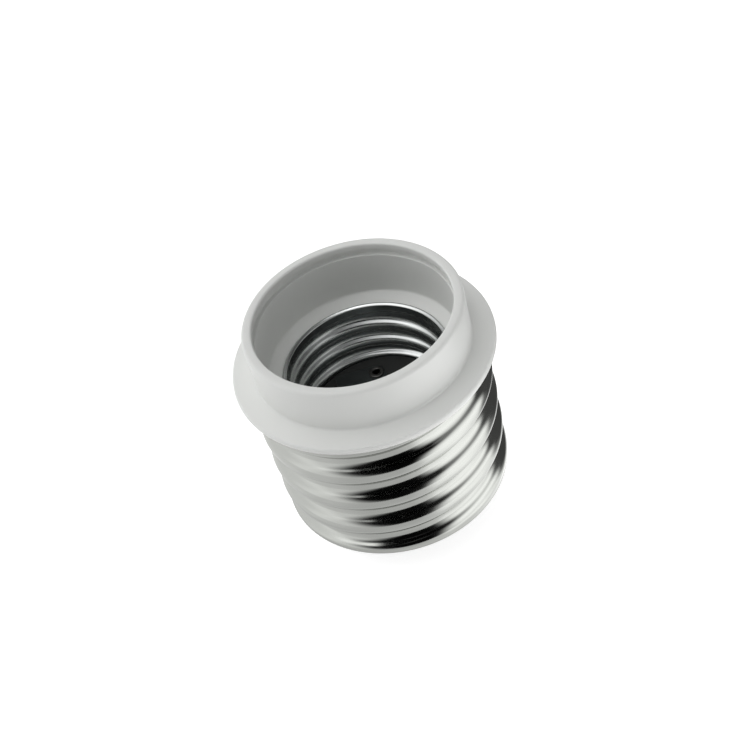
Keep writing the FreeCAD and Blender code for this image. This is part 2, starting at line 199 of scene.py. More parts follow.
class ContactSizes(bpy.types.PropertyGroup):
    """Contact tongue, rivet and eyelets."""

    thickness: length("Strip thickness", 0.35, "Thickness of the tongue")
    tongue_width: length("Tongue width", 5.0, "Width of the raised end")
    root_width: length("Root width", 8.7, "Width of the root plate")
    root_slant: length("Root slant", 0.35, "Slant of the root plate's end edge")
    root_shoulder: length("Root shoulder", 1.2, "Length of the root plate's shoulder")
    root_corner: length("Root corner", 0.7, "Rounding of the root plate")
    ear_radius: length("Ear radius", 1.6, "Rounding about the eyelet")
    bend_start: length("Bend start", 5.4, "Where the tongue starts to rise")
    bend_end: length("Bend end", 2.4, "Where the tongue is flat again")
    overhang: length("Overhang", 2.7, "Reach of the tongue past the axis")
    end_corner: length("End corner", 1.2, "Rounding of the tongue's end")
    edge_break: length("Edge break", 0.05, "Bevel of the tongue's cut edges")
    shank_radius: length("Shank radius", 0.88, "Radius of the rivet's shank")
    tail_radius: length("Tail radius", 1.2, "Radius of the rivet's tail")
    tail_rounding: length("Tail rounding", 0.1, "Rounding of the rivet's tail")
    dome_height: length("Dome height", 0.25, "Height of the rivet's domed crown")
    dome_rounding: length("Dome rounding", 0.4, "Rounding of the rivet's shoulder")
    crown_rounding: length("Crown rounding", 0.35, "Rounding about the rivet's flat crown")
    eyelet_circle: length("Eyelet circle", 8.27, "Radius of the circle that the eyelets stand on")
    eyelet_angle: degrees("Eyelet angle", 82.4, "Place of the first eyelet")
    eyelet_radius: length("Eyelet radius", 1.0, "Outside radius of an eyelet's tube")
    eyelet_bore: length("Eyelet bore", 0.6, "Hole of an eyelet")
    eyelet_head: length("Eyelet head", 1.35, "Radius of an eyelet's rolled head")
    head_thickness: length("Head thickness", 0.25, "Thickness of an eyelet's rolled head")
    head_rounding: length("Head rounding", 0.18, "Rounding of an eyelet's rolled head")
    mouth_rounding: length("Mouth rounding", 0.2, "Rounding of an eyelet's hole")
    small_rounding: length("Small rounding", 0.08, "Rounding under the heads of rivet and eyelets")
    play: length("Play", 0.05, "Play of an eyelet in its holes")
    live_play: length("Live clearance", 0.9, "Clearance of the live eyelet from the socket shell")


class BaseSizes(bpy.types.PropertyGroup):
    """Base insulator, tip contact and solder."""

    foot_radius: length("Foot radius", 8.0, "Radius of the cone's foot")
    neck_radius: length("Neck radius", 16.55, "Radius of the cone in the shell's lip")
    rim_radius: length("Rim radius", 17.35, "Radius of the rim above the lip")
    spigot_radius: length("Spigot radius", 13.52, "Radius of the spigot in the sleeve")
    spigot_height: length("Spigot height", 2.0, "Height of the spigot")
    channel_radius: length("Channel radius", 1.4, "Radius of the channel for the strap")
    foot_rounding: length("Foot rounding", 0.4, "Rounding of the cone's foot")
    cone_rounding: length("Cone rounding", 0.3, "Rounding of the cone's neck and spigot")
    edge_rounding: length("Edge rounding", 0.15, "Rounding of the other edges and the tip's back")
    stem_radius: length("Stem radius", 2.3, "Radius of the tip contact's stem")
    tip_thickness: length("Tip thickness", 2.2, "Thickness of the tip contact's disc")
    tip_bore: length("Tip bore", 1.0, "Bore of the tip contact")
    tip_rounding: length("Tip rounding", 1.0, "Rounding of the tip contact's edge")
    stem_rounding: length("Stem rounding", 0.1, "Rounding of the stem and the bore")
    dimple_radius: length("Dimple radius", 1.9, "Radius of the solder's dimple")
    dimple_depth: length("Dimple depth", 0.9, "Depth of the solder's dimple")
    dimple_rounding: length("Dimple rounding", 0.12, "Rounding of the dimple's edge")
    solder_rounding: length("Solder rounding", 0.3, "Rounding of the solder's face")
    solder_edge: length("Solder edge", 0.03, "Rounding of the solder's outer edge")
    turns: faces("Turns", 160, "Faces around the base")


class Finishes(bpy.types.PropertyGroup):
    """Colours of the surfaces."""

    plastic: tint("White plastic", (0.82, 0.83, 0.81), "Moulded collar")
    nickel: tint("Nickel plate", (0.51, 0.52, 0.495), "Outer screw shell and tip contact")
    socket: tint("Socket plate", (0.52, 0.535, 0.53), "Socket shell")
    board: tint("Fibre board", (0.022, 0.024, 0.023), "Floor disc")
    # Spring strip: bare metal's tone darkened far down, partly painted shade of the deep socket well that
    # the tongue lies in.
    spring_painted_shade: tint("Spring strip", (0.10, 0.11, 0.11), "Contact tongue")
    # Rivets: bare metal's tone darkened far down, partly painted shade of the deep socket well that they sit
    # in.
    rivet: tint("Rivets", (0.12, 0.12, 0.115), "Contact rivet and eyelets")
    strip: tint("Brass strip", (0.68, 0.52, 0.26), "Straps")
    insulator: tint("Insulator", (0.018, 0.018, 0.019), "Base insulator")
    solder: tint("Solder", (0.55, 0.56, 0.57), "Solder in the tip")


class StudioSettings(bpy.types.PropertyGroup):
    """Light, floor and camera."""

    tent: amount("Tent light", 1.35, "Strength of the light tent")
    zenith: amount("Zenith", 1.9, "Brightness straight above, to the walls")
    opening: amount("Opening", 0.002, "Light left in the tent's front opening")
    floor_tone: amount("Floor tone", 0.86, "Albedo of the floor")
    floor_lift: amount("Floor lift", 0.7, "Paleness added for the camera")
    floor_glow: amount("Floor glow", 1.35, "Light of the floor in reflections")
    floor_near: length("Near floor", 22, "Radius where the floor's light begins to change")
    floor_far: length("Far floor", 50, "Radius where the floor is lit as far out")
    card_place: position("Card place", (-9, -69, 103.5), "Where the black card hangs")
    card_width: length("Card width", 130, "Width of the black card")
    card_depth: length("Card depth", 50, "Depth of the black card")
    panel_place: position("Panel place", (45.6, -42.2, 36), "Where the light panel stands")
    panel_width: length("Panel width", 94, "Width of the light panel")
    panel_height: length("Panel height", 100, "Height of the light panel")
    panel_light: amount("Panel light", 1.7, "Brightness of the light panel")
    sensor: amount("Sensor width", 36, "Width of the camera's frame in mm")
    focal: amount("Focal length", 52.73, "Focal length of the lens in mm")
    clip_start: length("Clip start", 5, "Nearest distance that the camera sees")
    camera_place: position("Camera place", (0.72, -126.57, 154.13), "Where the camera stands")
    camera_roll: degrees("Camera roll", -16.77, "Roll of the camera")
    camera_pitch: degrees("Camera pitch", 45.81, "Tilt up from straight down")


def point(radius, height):
    """A point of an outline, in the XZ plane."""
    return Vector((radius, 0, height))


def at_angle(radius, angle):
    """A place at a radius and an angle about the axis."""
    return Vector((radius * math.cos(angle), radius * math.sin(angle), 0))


def eyelet_places(sizes):
    """The eyelets' places round the axis, the live one first."""
    angles = [sizes.eyelet_angle + index * THIRD_TURN for index in range(3)]
    return [at_angle(sizes.eyelet_circle, angle) for angle in angles]


def pick(piece, wanted):
    """In edit mode, selects the vertices for which wanted is true."""
    mesh = bmesh.from_edit_mesh(piece.data)
    for vertex in mesh.verts:
        vertex.select = wanted(vertex.co)
    mesh.select_flush_mode()
    bmesh.update_edit_mesh(piece.data)


def pick_near(piece, *places):
    """In edit mode, selects the vertices at these places."""
    pick(piece, lambda co: any((co - place).length < NEAR for place in places))


def draw_outline(name, corners):
    """Draws a closed outline of (place, rounding) corners, and stays in edit mode."""
    bpy.ops.object.select_all(action="DESELECT")
    bpy.ops.mesh.primitive_plane_add(size=MM)
    piece = bpy.context.object
    piece.name = name
    bpy.ops.object.mode_set(mode="EDIT")
    bpy.ops.mesh.select_mode(type="VERT")
    bpy.ops.mesh.select_all(action="SELECT")
    bpy.ops.mesh.merge(type="CENTER")
    bpy.ops.transform.translate(value=corners[0][0])
    for (last, _), (place, _) in zip(corners, corners[1:]):
        bpy.ops.mesh.extrude_vertices_move(TRANSFORM_OT_translate={"value": place - last})
    pick_near(piece, corners[0][0], corners[-1][0])
    bpy.ops.mesh.edge_face_add()
    for place, rounding in corners:
        if rounding:
            pick_near(piece, place)
            bpy.ops.mesh.bevel(offset=rounding, segments=ROUND_SEGMENTS, affect="VERTICES")
    return piece


def divide(rows):
    """Divides the selected edge into rows times rows."""
    bpy.ops.mesh.subdivide(number_cuts=rows - 1)
    bpy.ops.mesh.subdivide(number_cuts=rows - 1)


def turn(piece, turns):
    """Spins the outline about the axis and closes the seam."""
    bpy.ops.mesh.select_all(action="SELECT")
    bpy.ops.mesh.spin(steps=turns, angle=2 * math.pi, center=(0, 0, 0), axis=(0, 0, 1))
    bpy.ops.mesh.select_all(action="SELECT")
    bpy.ops.mesh.remove_doubles(threshold=WELD)
    bpy.ops.mesh.delete_loose(use_verts=True, use_edges=True, use_faces=False)
    bpy.ops.mesh.select_all(action="SELECT")
    bpy.ops.mesh.normals_make_consistent(inside=False)
    bpy.ops.object.mode_set(mode="OBJECT")


def take(piece):
    """Selects one piece alone and makes it the active one."""
    bpy.ops.object.select_all(action="DESELECT")
    piece.select_set(True)
    bpy.context.view_layer.objects.active = piece


def modify(piece, kind, **settings):
    """Gives the active piece a modifier with these settings and applies it."""
    modifier = piece.modifiers.new(kind.lower(), kind)
    for name, value in settings.items():
        setattr(modifier, name, value)
    bpy.ops.object.modifier_apply(modifier=modifier.name)


def smooth(piece):
    """Smooth shading with crisp edges, and flats that stay flat beside their roundings."""
    take(piece)
    bpy.ops.object.shade_smooth_by_angle(angle=SMOOTH_ANGLE)
    modify(piece, "WEIGHTED_NORMAL", keep_sharp=True)


def drill(piece, radius, place, low, high):
    """Drills an upright round hole."""
    bpy.ops.object.select_all(action="DESELECT")
    middle = (place.x, place.y, (low + high) / 2)
    depth = high - low
    bpy.ops.mesh.primitive_cylinder_add(vertices=DRILL_SIDES, radius=radius, depth=depth, location=middle)
    cutter = bpy.context.object
    take(piece)
    modify(piece, "BOOLEAN", operation="DIFFERENCE", solver="EXACT", object=cutter)
    bpy.data.objects.remove(cutter)


def knuckle_drop(offset, pitch, arc):
    """How far a knuckle thread lies under its crest, at a distance along the axis from the crest."""
    depth = 2 * arc - math.sqrt(4 * arc * arc - pitch * pitch / 4)
    away = abs((offset + pitch / 2) % pitch - pitch / 2)
    if away < pitch / 4:
        return arc - math.sqrt(arc * arc - away * away)
    rest = pitch / 2 - away
    return depth - arc + math.sqrt(arc * arc - rest * rest)


def ease(value, low, high):
    """Smooth step from 0 at low to 1 at high."""
    part = min(1.0, max(0.0, (value - low) / (high - low)))
    return part * part * (3 - 2 * part)


def blend_value(first, second, part):
    """The value that lies part of the way between two."""
    return first + (second - first) * part


def roll_wall(piece, wall_radius, radius_at):
    """Rolls a plain wall to a new shape: every point of it goes to the radius that radius_at gives."""
    for vertex in piece.data.vertices:
        radius = math.hypot(vertex.co.x, vertex.co.y)
        if abs(radius - wall_radius) < NEAR:
            angle = math.atan2(vertex.co.y, vertex.co.x)
            scale = radius_at(angle, vertex.co.z) / radius
            vertex.co.x *= scale
            vertex.co.y *= scale


def coat(piece, material):
    """Gives a piece its finish."""
    piece.data.materials.clear()
    piece.data.materials.append(material)


def coat_node(name, material):
    """Gives a carried-over node its finish."""
    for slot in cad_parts[name].material_slots:
        slot.material = material


def place_piece(piece, material_name, body, slot, node):
    """Coats a finished piece, hangs it on its body and hides the node that it stands for; the slot is not
    used.
    """
    coat(piece, bpy.data.materials[material_name])
    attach(piece, body)
    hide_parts(node)


def turned_piece(name, turns, corners, *place):
    """A piece that is turned from its outline and put in its place."""
    piece = draw_outline(name, corners)
    turn(piece, turns)
    smooth(piece)
    place_piece(piece, *place)


def new_group(name, inputs, outputs):
    """A shader node group with float inputs (name, default) and float outputs."""
    group = bpy.data.node_groups.new(name, "ShaderNodeTree")
    for socket, default in inputs:
        made = group.interface.new_socket(name=socket, in_out="INPUT", socket_type="NodeSocketFloat")
        made.default_value = default
    for socket in outputs:
        group.interface.new_socket(name=socket, in_out="OUTPUT", socket_type="NodeSocketFloat")
    start = group.nodes.new("NodeGroupInput")
    end = group.nodes.new("NodeGroupOutput")
    return group, start, end


def feed(tree, socket, value):
    """Sets a socket to a number, or links it to another socket."""
    if isinstance(value, (int, float)):
        socket.default_value = value
    else:
        tree.links.new(value, socket)


def math_node(tree, operation, *values):
    """A math node whose inputs are sockets or numbers; returns its output."""
    node = tree.nodes.new("ShaderNodeMath")
    node.operation = operation
    for socket, value in zip(node.inputs, values):
        feed(tree, socket, value)
    return node.outputs[0]


def ramp_node(tree, value, low, high, to_low=0.0, to_high=1.0):
    """Smooth change of a value from one range to another."""
    node = tree.nodes.new("ShaderNodeMapRange")
    node.interpolation_type = "SMOOTHSTEP"
    for socket, number in zip(node.inputs, (value, low, high, to_low, to_high)):
        feed(tree, socket, number)
    return node.outputs["Result"]


def coordinates(tree, space):
    """A texture coordinate, and the outputs that give its X, Y and Z."""
    place = tree.nodes.new("ShaderNodeTexCoord").outputs[space]
    split = tree.nodes.new("ShaderNodeSeparateXYZ")
    tree.links.new(place, split.inputs[0])
    return place, split.outputs


def mix_surfaces(tree, mask, first, second):
    """The material's surface: the first shader where the mask is 0, the second where it is 1."""
    mix = tree.nodes.new("ShaderNodeMixShader")
    tree.links.new(mask, mix.inputs["Fac"])
    tree.links.new(first.outputs[0], mix.inputs[1])
    tree.links.new(second.outputs[0], mix.inputs[2])
    tree.links.new(mix.outputs[0], tree.nodes["Material Output"].inputs["Surface"])


def handling_group():
    """Faint cloudy marks from handling, and a fine grain."""
    group, start, end = new_group(
        "handling_marks", [("Cloud Scale", 180.0), ("Grain Scale", 2600.0)], ["Cloud", "Grain"]
    )
    place = group.nodes.new("ShaderNodeTexCoord")
    for output, detail, roughness in (("Cloud", 3.0, 0.55), ("Grain", 2.0, 0.5)):
        texture = group.nodes.new("ShaderNodeTexNoise")
        texture.inputs["Detail"].default_value = detail
        texture.inputs["Roughness"].default_value = roughness
        group.links.new(place.outputs["Object"], texture.inputs["Vector"])
        group.links.new(start.outputs[output + " Scale"], texture.inputs["Scale"])
        group.links.new(texture.outputs["Fac"], end.inputs[output])


def rolling_group():
    """Fine lines that run round a rolled or drawn shell, and the slow waves of its wall."""
    group, start, end = new_group(
        "rolling_lines", [("Line Scale", 1.0), ("Wave Scale", 1.0)], ["Lines", "Waves"]
    )
    place = group.nodes.new("ShaderNodeTexCoord")
    kinds = (("Lines", (160.0, 160.0, 9000.0), 2.0), ("Waves", (90.0, 90.0, 160.0), 1.0))
    for output, stretch, detail in kinds:
        mapping = group.nodes.new("ShaderNodeMapping")
        mapping.inputs["Scale"].default_value = stretch
        group.links.new(place.outputs["Object"], mapping.inputs["Vector"])
        texture = group.nodes.new("ShaderNodeTexNoise")
        texture.inputs["Detail"].default_value = detail
        group.links.new(mapping.outputs["Vector"], texture.inputs["Vector"])
        group.links.new(start.outputs[output[:-1] + " Scale"], texture.inputs["Scale"])
        group.links.new(texture.outputs["Fac"], end.inputs[output])


def new_material(name, color, roughness, metallic=0.0):
    """A material and its Principled BSDF."""
    material = bpy.data.materials.new(name)
    material.use_nodes = True
    shader = material.node_tree.nodes["Principled BSDF"]
    shader.inputs["Base Color"].default_value = (*color, 1)
    shader.inputs["Metallic"].default_value = metallic
    shader.inputs["Roughness"].default_value = roughness
    return material, shader


def add_group(material, group_name, **values):
    """Places a node group in a material with its own values."""
    node = material.node_tree.nodes.new("ShaderNodeGroup")
    node.node_tree = bpy.data.node_groups[group_name]
    for name, value in values.items():
        node.inputs[name.replace("_", " ")].default_value = value
    return node


def vary_color(material, shader, mask, light, dark):
    """Base colour between two tones by a mask."""
    tree = material.node_tree
    mix = tree.nodes.new("ShaderNodeMix")
    mix.data_type = "RGBA"
    mix.inputs["A"].default_value = (*dark, 1)
    mix.inputs["B"].default_value = (*light, 1)
    tree.links.new(mask, mix.inputs["Factor"])
    tree.links.new(mix.outputs["Result"], shader.inputs["Base Color"])


def vary_roughness(material, shader, cloud, low, high):
    """Roughness between two values, by the clouds of a noise texture."""
    tree = material.node_tree
    value = ramp_node(tree, cloud, *CLOUD_RANGE, low, high)
    tree.links.new(value, shader.inputs["Roughness"])


def add_bumps(material, shader, *layers):
    """Stacks bump layers of (height socket, distance)."""
    tree = material.node_tree
    normal = None
    for height, distance in layers:
        bump = tree.nodes.new("ShaderNodeBump")
        bump.inputs["Strength"].default_value = 1.0
        bump.inputs["Distance"].default_value = distance
        tree.links.new(height, bump.inputs["Height"])
        if normal is not None:
            tree.links.new(normal, bump.inputs["Normal"])
        normal = bump.outputs["Normal"]
    tree.links.new(normal, shader.inputs["Normal"])


def shade(color, factor):
    """A colour made lighter or darker."""
    return tuple(min(1.0, part * factor) for part in color)


def plastic_finish(name, color, cloud, roughness, grain):
    """Moulded plastic: clouded tone, satin gloss and a fine grain."""
    material, shader = new_material(name, color, roughness)
    marks = add_group(material, "handling_marks", Cloud_Scale=cloud, Grain_Scale=3200.0)
    vary_color(material, shader, marks.outputs["Cloud"], shade(color, 1.02), shade(color, 0.97))
    vary_roughness(material, shader, marks.outputs["Cloud"], roughness - 0.04, roughness + 0.06)
    add_bumps(material, shader, (marks.outputs["Grain"], grain), (marks.outputs["Cloud"], 4 * grain))


def metal_finish(name, color, roughness, lines, waves):
    """Plated or bare sheet metal: rolling lines, slow waves and faint smudges."""
    material, shader = new_material(name, color, roughness, metallic=1.0)
    marks = add_group(material, "handling_marks", Cloud_Scale=240.0, Grain_Scale=2600.0)
    rolled = add_group(material, "rolling_lines")
    vary_color(material, shader, marks.outputs["Cloud"], shade(color, 1.03), shade(color, 0.95))
    vary_roughness(material, shader, marks.outputs["Cloud"], roughness, roughness * 1.6)
    add_bumps(material, shader, (rolled.outputs["Lines"], lines), (rolled.outputs["Waves"], waves))


class ADAPTER_OT_finishes(bpy.types.Operator):
    """Mixes the finishes of all the surfaces"""

    bl_idname = "adapter.finishes"
    bl_label = "Mix the Finishes"

    def execute(self, context):
        colors = context.scene.adapter_finishes
        handling_group()
        rolling_group()
        plastic_finish("moulded_white", colors.plastic, cloud=90.0, roughness=0.34, grain=0.004 * MM)
        plastic_finish("moulded_black", colors.insulator, cloud=120.0, roughness=0.30, grain=0.006 * MM)
        plastic_finish("fibre_board", colors.board, cloud=700.0, roughness=0.55, grain=0.012 * MM)
        metal_finish("plated_shell", colors.nickel, roughness=0.10, lines=0.0004 * MM, waves=0.03 * MM)
        metal_finish("plated_socket", colors.socket, roughness=0.165, lines=0.0003 * MM, waves=0.02 * MM)
        # The tongue's strip: a metal finish whose dark tone is partly painted shade of the socket well.
        metal_finish("spring_strip_painted_shade", colors.spring_painted_shade, roughness=0.32, lines=0.002 * MM, waves=0.01 * MM)
        # The rivet and eyelets: a metal finish whose dark tone is partly painted shade of the socket well.
        metal_finish("rivet_metal_painted_shade", colors.rivet, roughness=0.28, lines=0.001 * MM, waves=0.01 * MM)
        metal_finish("rolled_brass", colors.strip, roughness=0.28, lines=0.002 * MM, waves=0.01 * MM)
        metal_finish("set_solder", colors.solder, roughness=0.34, lines=0.001 * MM, waves=0.12 * MM)
        return {"FINISHED"}


class ADAPTER_OT_collar(bpy.types.Operator):
    """Turns the white collar and cuts its hidden holes"""

    bl_idname = "adapter.collar"
    bl_label = "Turn the Collar"

    def execute(self, context):
        sizes = context.scene.adapter_collar
        contact = context.scene.adapter_contact
        rim = COLLAR_HIGH.z
        foot = COLLAR_LOW.z
        edge = COLLAR_HIGH.x
        flange_top = rim - sizes.tube_height
        flange_bottom = SHELL_HIGH.z
        ledge = rim - sizes.mouth_depth
        groove_top = rim - sizes.groove_top
        groove_floor = groove_top - sizes.groove_height
        groove_radius = sizes.mouth_radius + sizes.groove_depth
        small = sizes.small_rounding
        piece = draw_outline("collar_moulding", [
            (point(0, sizes.web_bottom), 0),
            (point(sizes.sleeve_bore, sizes.web_bottom), small),
            (point(sizes.sleeve_bore, foot), small),
            (point(sizes.sleeve_radius, foot), small),
            (point(sizes.sleeve_radius, flange_bottom), 0),
            (point(edge, flange_bottom), sizes.flange_rounding),
            (point(edge, flange_bottom + sizes.flange_edge), sizes.flange_rounding),
            (point(sizes.tube_radius, flange_top), sizes.root_rounding),
            (point(sizes.tube_radius, rim), sizes.rim_rounding),
            (point(sizes.mouth_radius, rim), sizes.lip_rounding),
            (point(sizes.mouth_radius, groove_top), small),
            (point(groove_radius, groove_top - sizes.groove_slope), small),
            (point(groove_radius, groove_floor), small),
            (point(sizes.mouth_radius, groove_floor), small),
            (point(sizes.mouth_radius, ledge), sizes.ledge_rounding),
            (point(sizes.socket_bore, ledge - sizes.ledge_drop), small),
            (point(sizes.socket_bore, sizes.web_top), small),
            (point(0, sizes.web_top), 0),
        ])
        turn(piece, sizes.turns)
        hole = contact.eyelet_radius + contact.play
        for place in eyelet_places(contact):
            drill(piece, hole, place, sizes.web_bottom - MM, sizes.web_top + MM)
        smooth(piece)
        place_piece(piece, "moulded_white", "adapter", "white_plastic", "collar")
        return {"FINISHED"}


# Corners of the outer shell's turned-in foot, in bead heights: inward, up from the edge, and rounding.
FOOT_ROLL = ((0.45, 0.5, 0.2), (1.15, 0.15, 0.2), (1.5, 0, 0.1))


class ADAPTER_OT_outer_shell(bpy.types.Operator):
    """Turns the outer screw shell and rolls its thread"""

    bl_idname = "adapter.outer_shell"
    bl_label = "Roll the Outer Shell"

    def execute(self, context):
        sizes = context.scene.adapter_shell
        low = SHELL_LOW.z
        high = SHELL_HIGH.z
        bead = low + sizes.bead_height
        lip_top = low + sizes.lip_thickness
        wall = sizes.bead_radius
        roll = sizes.bead_height
        foot = [
            (point(wall - inward * roll, low + up * roll), soft * roll) for inward, up, soft in FOOT_ROLL
        ]
        piece = draw_outline("outer_shell_rolled", [
            (point(sizes.void_radius, high), 0),
            (point(wall, high), 0),
            (point(wall, bead), 0),
            *foot,
            (point(sizes.lip_opening, low), sizes.lip_rounding),
            (point(sizes.lip_opening, lip_top), sizes.lip_rounding),
            (point(sizes.void_radius, lip_top), 0),
        ])
        pick_near(piece, point(wall, high), point(wall, bead))
        divide(sizes.rows)
        turn(piece, sizes.turns)

        def radius_at(angle, height):
            offset = height - sizes.crest_height - sizes.pitch * angle / (2 * math.pi)
            thread = sizes.crest_radius - knuckle_drop(offset, sizes.pitch, sizes.arc)
            top = ease(height, sizes.thread_top, sizes.thread_top + sizes.top_fade)
            bottom = 1 - ease(height, bead, sizes.thread_bottom)
            return blend_value(blend_value(thread, sizes.band_radius, top), sizes.bead_radius, bottom)

        roll_wall(piece, wall, radius_at)
        smooth(piece)
        place_piece(piece, "plated_shell", "adapter", "nickel_plate", "outer_screw_shell")
        return {"FINISHED"}


class ADAPTER_OT_socket_shell(bpy.types.Operator):
    """Turns the socket shell, rolls its thread inwards and pierces its ring"""

    bl_idname = "adapter.socket_shell"
    bl_label = "Roll the Socket Shell"

    def execute(self, context):
        sizes = context.scene.adapter_socket
        contact = context.scene.adapter_contact
        low = SOCKET_LOW.z
        high = SOCKET_HIGH.z
        wall = sizes.band_radius
        lip_bottom = high - sizes.lip_height
        ring_top = low + sizes.ring_thickness
        piece = draw_outline("socket_shell_rolled", [
            (point(sizes.ring_opening, low), 0),
            (point(sizes.outside_radius, low), sizes.small_rounding),
            (point(sizes.outside_radius, high), sizes.lip_rounding),
            (point(sizes.lip_radius, high), sizes.lip_edge),
            (point(wall, high - sizes.lip_fall), sizes.small_rounding),
            (point(wall, lip_bottom), 0),
            (point(wall, ring_top), 0),
            (point(sizes.ring_opening, ring_top), 0),
        ])
        pick_near(piece, point(wall, lip_bottom), point(wall, ring_top))
        divide(sizes.rows)
        turn(piece, sizes.turns)

        groove = sizes.crest_radius + knuckle_drop(sizes.pitch / 2, sizes.pitch, sizes.arc)
        plain = sizes.crest_radius + contact.play

        def radius_at(angle, height):
            around = (angle + math.pi / 2) % (2 * math.pi)
            crest = sizes.crest_height + sizes.pitch * (around - math.pi / 2) / (2 * math.pi)
            thread = sizes.crest_radius + knuckle_drop(height - crest, sizes.pitch, sizes.arc)
            if height > crest + sizes.pitch / 2:
                thread = blend_value(thread, groove, ease(around, 0, sizes.run_out))
            top = ease(height, sizes.thread_top, sizes.thread_top + sizes.top_fade)
            bottom = 1 - ease(height, sizes.thread_bottom - sizes.bottom_fade, sizes.thread_bottom)
            return blend_value(blend_value(thread, sizes.band_radius, top), plain, bottom)

        roll_wall(piece, wall, radius_at)
        plays = (contact.live_play, contact.play, contact.play)
        for place, play in zip(eyelet_places(contact), plays):
            drill(piece, contact.eyelet_radius + play, place, low - MM, ring_top + MM)
        smooth(piece)
        place_piece(piece, "plated_socket", "adapter", "nickel_plate", "inner_screw_shell")
        return {"FINISHED"}


class ADAPTER_OT_tongue(bpy.types.Operator):
    """Cuts, bends and thickens the sprung contact tongue"""

    bl_idname = "adapter.tongue"
    bl_label = "Bend the Tongue"

    def execute(self, context):
        sizes = context.scene.adapter_contact
        eyelet = eyelet_places(sizes)[0]
        right = eyelet.x + sizes.ear_radius
        left = right - sizes.root_width
        end = eyelet.y + sizes.ear_radius
        shoulder = sizes.bend_start + sizes.root_shoulder
        half = sizes.tongue_width / 2
        corner = sizes.root_corner
        ear = 0.98 * sizes.ear_radius
        floor = TONGUE_LOW.z
        rise = TONGUE_HIGH.z - sizes.thickness - floor
        piece = draw_outline("tongue_spring", [
            (Vector((left, shoulder, floor)), corner),
            (Vector((left, end + sizes.root_slant, floor)), corner),
            (Vector((right, end, floor)), ear),
            (Vector((right, shoulder, floor)), corner / 3),
            (Vector((half, sizes.bend_start, floor)), corner / 3),
            (Vector((half, -sizes.overhang, floor)), sizes.end_corner),
            (Vector((-half, -sizes.overhang, floor)), sizes.end_corner),
            (Vector((-half, sizes.bend_start, floor)), corner / 3),
        ])
        bpy.ops.mesh.select_all(action="SELECT")
        bpy.ops.mesh.edge_face_add()
        for step in range(BEND_STEPS + 1):
            across = blend_value(sizes.bend_end, sizes.bend_start, step / BEND_STEPS)
            bpy.ops.mesh.select_all(action="SELECT")
            bpy.ops.mesh.bisect(plane_co=(0, across, floor), plane_no=(0, 1, 0))
        bpy.ops.object.mode_set(mode="OBJECT")
        for vertex in piece.data.vertices:
            vertex.co.z = floor + rise * (1 - ease(vertex.co.y, sizes.bend_end, sizes.bend_start))
        bpy.ops.object.mode_set(mode="EDIT")
        bpy.ops.mesh.select_all(action="SELECT")
        bpy.ops.mesh.normals_make_consistent(inside=False)
        bpy.ops.object.mode_set(mode="OBJECT")
        upwards = 1 if sum(polygon.normal.z for polygon in piece.data.polygons) > 0 else -1
        modify(piece, "SOLIDIFY", thickness=sizes.thickness, offset=upwards, use_even_offset=True)
        drill(piece, sizes.eyelet_radius + sizes.play, eyelet, floor - MM, floor + MM)
        drill(piece, sizes.shank_radius + sizes.play / 2, Vector((0, 0, 0)), floor, TONGUE_HIGH.z + MM)
        modify(piece, "BEVEL", width=sizes.edge_break, segments=2, angle_limit=BREAK_ANGLE)
        smooth(piece)
        coat(piece, bpy.data.materials["spring_strip_painted_shade"])
        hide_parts("contact_tongue")
        end = (0, sizes.bend_end, floor)
        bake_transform(piece)
        return {"FINISHED"}


class ADAPTER_OT_rivet(bpy.types.Operator):
    """Turns the domed contact rivet"""

    bl_idname = "adapter.rivet"
    bl_label = "Turn the Contact Rivet"

    def execute(self, context):
        sizes = context.scene.adapter_contact
        seat = TONGUE_HIGH.z
        under = seat - sizes.thickness
        head = BUTTON_HIGH.x
        crown = 0.45 * head
        turned_piece("contact_rivet", RIVET_TURNS, [
            (point(0, BUTTON_LOW.z), 0),
            (point(sizes.tail_radius, BUTTON_LOW.z), sizes.tail_rounding),
            (point(sizes.tail_radius, under), 0),
            (point(sizes.shank_radius, under), 0),
            (point(sizes.shank_radius, seat), 0),
            (point(head, seat), sizes.small_rounding),
            (point(head, BUTTON_HIGH.z - sizes.dome_height), sizes.dome_rounding),
            (point(crown, BUTTON_HIGH.z), sizes.crown_rounding),
            (point(0, BUTTON_HIGH.z), 0),
        ], "rivet_metal_painted_shade", "contact", "bright_contact", "contact_button")
        return {"FINISHED"}


class ADAPTER_OT_eyelets(bpy.types.Operator):
    """Turns the three eyelets with their rolled heads"""

    bl_idname = "adapter.eyelets"
    bl_label = "Turn the Eyelets"

    def execute(self, context):
        sizes = context.scene.adapter_contact
        web = context.scene.adapter_collar.web_bottom
        strap = STRAP_HIGH.z - EYELET_LOW.z - sizes.head_thickness
        heads = (DISC_HIGH.z + sizes.thickness, DISC_HIGH.z, DISC_HIGH.z)
        tails = (web - strap, web - strap, web)
        made = []
        for place, head, tail in zip(eyelet_places(sizes), heads, tails):
            piece = draw_outline("eyelet", [
                (point(sizes.eyelet_bore, tail - sizes.head_thickness), sizes.small_rounding),
                (point(sizes.eyelet_head, tail - sizes.head_thickness), sizes.small_rounding),
                (point(sizes.eyelet_head, tail), 0),
                (point(sizes.eyelet_radius, tail), 0),
                (point(sizes.eyelet_radius, head), 0),
                (point(sizes.eyelet_head, head), 0),
                (point(sizes.eyelet_head, head + sizes.head_thickness), sizes.head_rounding),
                (point(sizes.eyelet_bore, head + sizes.head_thickness), sizes.mouth_rounding),
            ])
            turn(piece, EYELET_TURNS)
            piece.location = place
            smooth(piece)
            made.append(piece)
        bpy.ops.object.select_all(action="DESELECT")
        for piece in made:
            piece.select_set(True)
        bpy.ops.object.transform_apply(location=True, rotation=False, scale=False)
        bpy.context.view_layer.objects.active = made[0]
        bpy.ops.object.join()
        made[0].name = "eyelets_rolled"
        place_piece(made[0], "rivet_metal_painted_shade", "adapter", "bright_contact", "eyelets")
        return {"FINISHED"}


